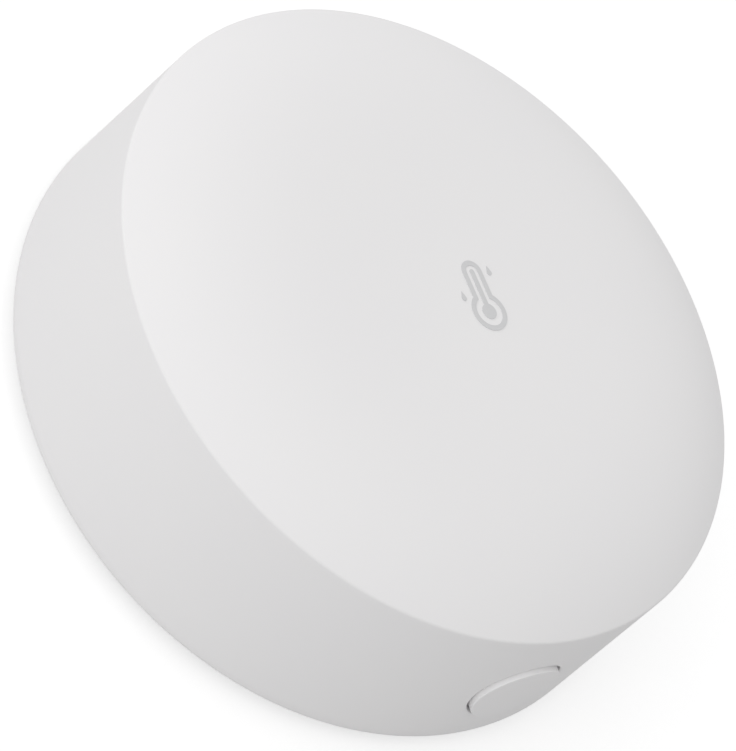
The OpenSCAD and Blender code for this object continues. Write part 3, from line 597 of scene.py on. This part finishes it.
# Foam tape: a ring left open over the air slots, swept with sides that swell a little
tape = {
    "innerRadius": 12.75, "outerRadius": 15.94, "thickness": 0.9, "round": 0.1, "swell": 0.03,  # mm
    "openTowards": 90.0, "openAngle": 56.0,  # degrees
    "stations": 161, "sideCuts": 7, "roundSteps": 3,
}
tapeInputs = {
    "radius": (tape["innerRadius"] + tape["outerRadius"]) / 2,
    "width": tape["outerRadius"] - tape["innerRadius"], "thickness": tape["thickness"],
    "start": math.radians(tape["openTowards"] + tape["openAngle"] / 2),
    "sweep": math.radians(360 - tape["openAngle"]), "round": tape["round"], "swell": tape["swell"],
    "stations": tape["stations"], "sideCuts": tape["sideCuts"], "roundSteps": tape["roundSteps"],
    "finish": foamTape,
}
tree, given = startTree("tapeRing", tapeInputs)
path = addNode(tree, "GeometryNodeCurveArc", {
    "Resolution": given["stations"], "Radius": given["radius"],
    "Start Angle": given["start"], "Sweep Angle": given["sweep"]})
upright = addNode(tree, "GeometryNodeSetCurveNormal", {"Curve": path.outputs["Curve"]}, mode="Z_UP")
section = addNode(tree, "GeometryNodeCurvePrimitiveQuadrilateral", {
    "Width": given["width"], "Height": given["thickness"]})
finer = addNode(tree, "GeometryNodeSubdivideCurve", {"Curve": section.outputs[0], "Cuts": given["sideCuts"]})
position = addNode(tree, "GeometryNodeInputPosition")
where = addNode(tree, "ShaderNodeSeparateXYZ", {0: position.outputs[0]})
height = addNode(tree, "ShaderNodeMath", {0: where.outputs["Y"], 1: given["thickness"]}, operation="DIVIDE")
squared = addNode(tree, "ShaderNodeMath", {0: height.outputs[0], 1: height.outputs[0]}, operation="MULTIPLY")
bulge = addNode(tree, "ShaderNodeMath", {0: squared.outputs[0], 1: -4.0, 2: 1.0},
                operation="MULTIPLY_ADD")  # 1 half way up, 0 at both faces
outwards = addNode(tree, "ShaderNodeMath", {0: where.outputs["X"]}, operation="SIGN")
amount = addNode(tree, "ShaderNodeMath", {0: bulge.outputs[0], 1: outwards.outputs[0]}, operation="MULTIPLY")
push = addNode(tree, "ShaderNodeMath", {0: amount.outputs[0], 1: given["swell"]}, operation="MULTIPLY")
offset = addNode(tree, "ShaderNodeCombineXYZ", {"X": push.outputs[0]})
swollen = addNode(tree, "GeometryNodeSetPosition", {
    "Geometry": finer.outputs[0], "Offset": offset.outputs[0]})
rounded = addNode(tree, "GeometryNodeFilletCurve", {
    "Curve": swollen.outputs[0], "Count": given["roundSteps"], "Radius": given["round"],
    "Limit Radius": True}, mode="POLY")
swept = addNode(tree, "GeometryNodeCurveToMesh", {
    "Curve": upright.outputs[0], "Profile Curve": rounded.outputs[0], "Fill Caps": True})
real = addNode(tree, "GeometryNodeRealizeInstances", {"Geometry": swept.outputs[0]})
dressed = addNode(tree, "GeometryNodeSetMaterial", {
    "Geometry": real.outputs[0], "Material": given["finish"]})
addNode(tree, "NodeGroupOutput", {"Geometry": dressed.outputs[0]})
bm = drawNodes("tapeDraft", tree, tapeInputs)
bmesh.ops.translate(bm, verts=bm.verts, vec=(0, 0, tape["thickness"] / 2))
adhesivePad = finishPiece(bm, "adhesivePad", "housing", [foamTape])
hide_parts("adhesive_pad")
print("tape swept:", len(adhesivePad.data.polygons), "faces")

# Pieces whose CAD shape is right: a merged copy with eased edges, as moulding or pressing leaves them
eased = {  # node: piece, body, slot, finish, edge radius in mm
    "rear_housing": ("rearHousing", "housing", "back_abs", "backAbsMoulded", 0.06),
    "battery_cover": ("batteryCover", "cover", "back_abs", "backAbsMoulded", 0.08),
    "circuit_board": ("circuitBoard", "housing", "board_fr4", "glassEpoxyMasked", 0.03),
    "radio_chip": ("radioChip", "housing", "chip_epoxy", "chipEpoxyMoulded", 0.05),
    "crystal": ("crystalCan", "housing", "tinned_can", "tinnedSteelPressed", 0.12),
    "shield_can": ("shieldCan", "housing", "tinned_can", "tinnedSteelPressed", 0.08),
    "chip_antenna": ("chipAntenna", "housing", "pale_ceramic", "paleCeramicFired", 0.06),
    "humidity_sensor": ("humiditySensor", "housing", "chip_epoxy", "chipEpoxyMoulded", 0.04),
    "status_lamp": ("statusLamp", "housing", "lamp_resin", "lampResinCast", 0.08),
    "battery_frame": ("batteryFrame", "housing", "black_lcp", "blackLcpMoulded", 0.06),
    "positive_contact": ("positiveContact", "housing", "spring_steel", "springSteelRolled", 0.03),
    "negative_contact": ("negativeContact", "housing", "spring_steel", "springSteelRolled", 0.03),
    "coin_cell_can": ("coinCellCan", "housing", "cell_steel", "nickelSteelDrawn", 0.08),
    "coin_cell_cap": ("coinCellCap", "housing", "cell_steel", "nickelSteelDrawn", 0.06),
    "coin_cell_gasket": ("coinCellGasket", "housing", "cell_seal", "cellSealNylon", 0.05),
    "coin_cell_core": ("coinCellCore", "housing", "cell_powder", "cellPowderPressed", 0.1),
    "switch_body": ("switchBody", "housing", "black_lcp", "blackLcpMoulded", 0.05),
    "switch_frame": ("switchFrame", "housing", "spring_steel", "springSteelRolled", 0.03),
    "switch_plunger": ("switchPlunger", "plunger", "plunger_pom", "plungerPomMoulded", 0.08),
}
easing = {
    "weld": 1e-4, "segments": 2,  # mm between points that are one, faces across an eased edge
    "flat": 0.4, "curved": 30.0, "sharp": 40.0,  # degrees between faces: a plane, a curve, an edge to ease
    "shortest": 0.1,  # mm, so that the rims of the small dots stay crisp
    "outerOnly": {"rear_housing": 1.0, "battery_cover": 1.0},  # mm up from the back, where easing ends
}
for node, (name, body, slotName, finish, edge) in eased.items():
    bm = bmesh.new()
    bm.from_mesh(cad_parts[node].data)
    bmesh.ops.remove_doubles(bm, verts=bm.verts, dist=easing["weld"] * mm)
    bmesh.ops.dissolve_limit(bm, angle_limit=math.radians(easing["flat"]), verts=bm.verts, edges=bm.edges)
    weights = bm.edges.layers.float.new("bevel_weight_edge")
    turns = {line: math.degrees(line.calc_face_angle(0)) for line in bm.edges}
    reach = easing["outerOnly"].get(node)
    for line, turn in turns.items():
        outer = reach is None or (max(end.co.z for end in line.verts) < reach * mm
                                  and line.calc_length() > easing["shortest"] * mm)
        line[weights] = float(outer and turn > easing["sharp"])
        line.smooth = turn < easing["curved"]
    for face in bm.faces:  # only faces that belong to a curve are shaded smoothly
        face.smooth = any(easing["flat"] < turns[line] < easing["curved"] for line in face.edges)
    mesh = bpy.data.meshes.new(name)
    bm.to_mesh(mesh)
    bm.free()
    mesh.materials.clear()
    mesh.materials.append(finishes[finish])
    piece = bpy.data.objects.new(name, mesh)
    bpy.context.collection.objects.link(piece)
    rounding = piece.modifiers.new("easedEdges", "BEVEL")
    rounding.width = edge * mm
    rounding.segments = easing["segments"]
    rounding.limit_method = "WEIGHT"
    rounding.miter_outer = "MITER_ARC"
    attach(piece, body)
    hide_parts(node)
print("eased copies:", len(eased))

# Housing screws: flat heads with a cross recess, a rolled thread and a short taper, one at each post
screw = {
    "posts": 4, "postRing": 14.32, "postAngle": 45.0,  # mm and degrees
    "head": 1.0, "headZ": 1.0, "headHeight": 0.6, "chamfer": 0.12,
    "driveLength": 1.2, "driveWidth": 0.3,
    "driveDepth": 0.35, "driveDeeper": 0.3605,  # one bar a hair deeper, so that no two cuts share a plane
    "core": 0.46, "rootSink": 0.12,  # how far the shank reaches into the head
    "thread": 0.6, "pitch": 0.5, "threadZ": 2.0,
    "tip": 0.4, "tipZ": 8.95, "tipRadius": 0.184,
    "tipSink": 0.01,  # the taper starts just inside the shank, so that the two stay separate skins
    "headSides": 48, "coneSides": 61, "coreSides": 32, "threadSteps": 24, "threadSides": 4,
}
shankStart = screw["headZ"] + screw["headHeight"] - screw["rootSink"]
shankEnd = screw["tipZ"] - screw["tip"]
coneFoot = screw["head"] - 2 * screw["chamfer"]
flare = 2 * screw["headHeight"]  # the cone widens as much as it rises, which cuts a chamfer of 45 degrees
screwInputs = {
    "posts": screw["posts"], "postRing": screw["postRing"],
    "headSides": screw["headSides"], "head": screw["head"], "headHeight": screw["headHeight"],
    "headMiddle": (0.0, 0.0, screw["headHeight"] / 2), "headPlace": (0.0, 0.0, screw["headZ"]),
    "coneSides": screw["coneSides"], "coneFoot": coneFoot, "coneTop": coneFoot + flare, "flare": flare,
    "conePlace": (0.0, 0.0, -screw["chamfer"]),
    "firstBar": (screw["driveLength"], screw["driveWidth"], 2 * screw["driveDepth"]),
    "secondBar": (screw["driveWidth"], screw["driveLength"], 2 * screw["driveDeeper"]),
    "coreSides": screw["coreSides"], "core": screw["core"], "shankLength": shankEnd - shankStart,
    "shankMiddle": (0.0, 0.0, (shankStart + shankEnd) / 2),
    "tip": screw["tip"], "tipRadius": screw["tipRadius"], "tipPlace": (0.0, 0.0, shankEnd - screw["tipSink"]),
    "threadSteps": screw["threadSteps"], "turns": (shankEnd - screw["threadZ"]) / screw["pitch"],
    "threadLength": shankEnd - screw["threadZ"], "threadPlace": (0.0, 0.0, screw["threadZ"]),
    "threadSides": screw["threadSides"], "crest": screw["thread"] - screw["core"],
    "finish": finishes["zincSteelTurned"],
}
tree, given = startTree("screwSet", screwInputs)
drum = addNode(tree, "GeometryNodeMeshCylinder", {
    "Vertices": given["headSides"], "Radius": given["head"], "Depth": given["headHeight"]})
drumUp = addNode(tree, "GeometryNodeTransform", {
    "Geometry": drum.outputs[0], "Translation": given["headMiddle"]})
cone = addNode(tree, "GeometryNodeMeshCone", {
    "Vertices": given["coneSides"], "Depth": given["flare"],
    "Radius Bottom": given["coneFoot"], "Radius Top": given["coneTop"]})
coneDown = addNode(tree, "GeometryNodeTransform", {
    "Geometry": cone.outputs[0], "Translation": given["conePlace"]})
blank = addNode(tree, "GeometryNodeMeshBoolean", {"Mesh 2": [drumUp.outputs[0], coneDown.outputs[0]]},
                operation="INTERSECT")
bars = [addNode(tree, "GeometryNodeMeshCube", {"Size": given[bar]}).outputs[0]
        for bar in ("firstBar", "secondBar")]
head = addNode(tree, "GeometryNodeMeshBoolean", {"Mesh 1": blank.outputs[0], "Mesh 2": bars},
               operation="DIFFERENCE")
shank = addNode(tree, "GeometryNodeMeshCylinder", {
    "Vertices": given["coreSides"], "Radius": given["core"], "Depth": given["shankLength"]})
taper = addNode(tree, "GeometryNodeMeshCone", {
    "Vertices": given["coreSides"], "Depth": given["tip"],
    "Radius Bottom": given["core"], "Radius Top": given["tipRadius"]})
helix = addNode(tree, "GeometryNodeCurveSpiral", {
    "Resolution": given["threadSteps"], "Rotations": given["turns"], "Start Radius": given["core"],
    "End Radius": given["core"], "Height": given["threadLength"]})
upright = addNode(tree, "GeometryNodeSetCurveNormal", {"Curve": helix.outputs[0]}, mode="Z_UP")
ridge = addNode(tree, "GeometryNodeCurvePrimitiveCircle", {
    "Resolution": given["threadSides"], "Radius": given["crest"]})
thread = addNode(tree, "GeometryNodeCurveToMesh", {
    "Curve": upright.outputs[0], "Profile Curve": ridge.outputs[0], "Fill Caps": True})
stack = ((head, "headPlace"), (taper, "tipPlace"), (shank, "shankMiddle"), (thread, "threadPlace"))
stacked = [addNode(tree, "GeometryNodeTransform", {
    "Geometry": part.outputs[0], "Translation": given[spot]}).outputs[0] for part, spot in stack]
whole = addNode(tree, "GeometryNodeJoinGeometry", {"Geometry": stacked})
posts = addNode(tree, "GeometryNodeMeshCircle", {"Vertices": given["posts"], "Radius": given["postRing"]})
corners = addNode(tree, "GeometryNodeTransform", {
    "Geometry": posts.outputs[0], "Rotation": (0, 0, math.radians(screw["postAngle"]))})
placed = addNode(tree, "GeometryNodeInstanceOnPoints", {
    "Points": corners.outputs[0], "Instance": whole.outputs[0]})
real = addNode(tree, "GeometryNodeRealizeInstances", {"Geometry": placed.outputs[0]})
dressed = addNode(tree, "GeometryNodeSetMaterial", {
    "Geometry": real.outputs[0], "Material": given["finish"]})
addNode(tree, "NodeGroupOutput", {"Geometry": dressed.outputs[0]})
bm = drawNodes("screwDraft", tree, screwInputs)
housingScrews = finishPiece(bm, "housingScrews", "housing", [finishes["zincSteelTurned"]])
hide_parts("housing_screws")
print("screws threaded:", len(housingScrews.data.polygons), "faces")

# Rows of chip parts: each a small body between two tinned ends, set along the shield can
chip = {
    "x": -5.1, "z": 7.25, "pitch": 1.5, "length": 1.6, "width": 0.8, "end": 0.34,
    "inset": 0.03,  # how far the body lies under the faces of its ends
    "edge": 0.04, "segments": 2,
}
chipRows = {
    "chipCapacitors": {"node": "chip_capacitors", "slot": "tan_ceramic", "finish": "tanCeramicFired",
                       "count": 6, "y": 7.6, "height": 0.8},
    "chipResistors": {"node": "chip_resistors", "slot": "chip_epoxy", "finish": "resistorGlaze",
                      "count": 5, "y": -2.8, "height": 0.45},
}
chipInputs = {}
endPlace = (chip["length"] - chip["end"]) / 2
for name, facts in chipRows.items():
    chipInputs[name] = {
        "count": facts["count"], "step": (chip["pitch"], 0.0, 0.0), "rowY": facts["y"],
        "firstPlace": (chip["x"], facts["y"], chip["z"] + facts["height"] / 2),
        "bodySize": (chip["width"] - 2 * chip["inset"], chip["length"] - chip["end"],
                     facts["height"] - 2 * chip["inset"]),
        "endSize": (chip["width"], chip["end"], facts["height"]),
        "nearEnd": (0.0, -endPlace, 0.0), "farEnd": (0.0, endPlace, 0.0),
        "endsFrom": chip["length"] / 4,  # faces further than this from the middle are tinned
        "bodyFinish": finishes[facts["finish"]], "endFinish": finishes["solderTinned"],
    }
tree, given = startTree("chipRow", chipInputs["chipCapacitors"])
middle = addNode(tree, "GeometryNodeMeshCube", {"Size": given["bodySize"]})
end = addNode(tree, "GeometryNodeMeshCube", {"Size": given["endSize"]})
ends = [addNode(tree, "GeometryNodeTransform", {
    "Geometry": end.outputs[0], "Translation": given[label]}).outputs[0] for label in ("nearEnd", "farEnd")]
whole = addNode(tree, "GeometryNodeJoinGeometry", {"Geometry": [middle.outputs[0], *ends]})
row = addNode(tree, "GeometryNodeMeshLine", {
    "Count": given["count"], "Start Location": given["firstPlace"], "Offset": given["step"]})
placed = addNode(tree, "GeometryNodeInstanceOnPoints", {
    "Points": row.outputs[0], "Instance": whole.outputs[0]})
real = addNode(tree, "GeometryNodeRealizeInstances", {"Geometry": placed.outputs[0]})
bodies = addNode(tree, "GeometryNodeSetMaterial", {
    "Geometry": real.outputs[0], "Material": given["bodyFinish"]})
position = addNode(tree, "GeometryNodeInputPosition")
where = addNode(tree, "ShaderNodeSeparateXYZ", {0: position.outputs[0]})
along = addNode(tree, "ShaderNodeMath", {0: where.outputs["Y"], 1: given["rowY"]}, operation="SUBTRACT")
fromMiddle = addNode(tree, "ShaderNodeMath", {0: along.outputs[0]}, operation="ABSOLUTE")
outer = addNode(tree, "ShaderNodeMath", {0: fromMiddle.outputs[0], 1: given["endsFrom"]},
                operation="GREATER_THAN")
dressed = addNode(tree, "GeometryNodeSetMaterial", {
    "Geometry": bodies.outputs[0], "Selection": outer.outputs[0], "Material": given["endFinish"]})
addNode(tree, "NodeGroupOutput", {"Geometry": dressed.outputs[0]})
for name, facts in chipRows.items():
    pair = [chipInputs[name]["bodyFinish"], chipInputs[name]["endFinish"]]
    bm = drawNodes(name + "Draft", tree, chipInputs[name])
    piece = finishPiece(bm, name, "housing", pair)
    rounding = piece.modifiers.new("easedEdges", "BEVEL")
    rounding.width = chip["edge"] * mm
    rounding.segments = chip["segments"]
    rounding.limit_method = "ANGLE"
    rounding.harden_normals = True
    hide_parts(facts["node"])
    print("chip row set:", name, facts["count"])
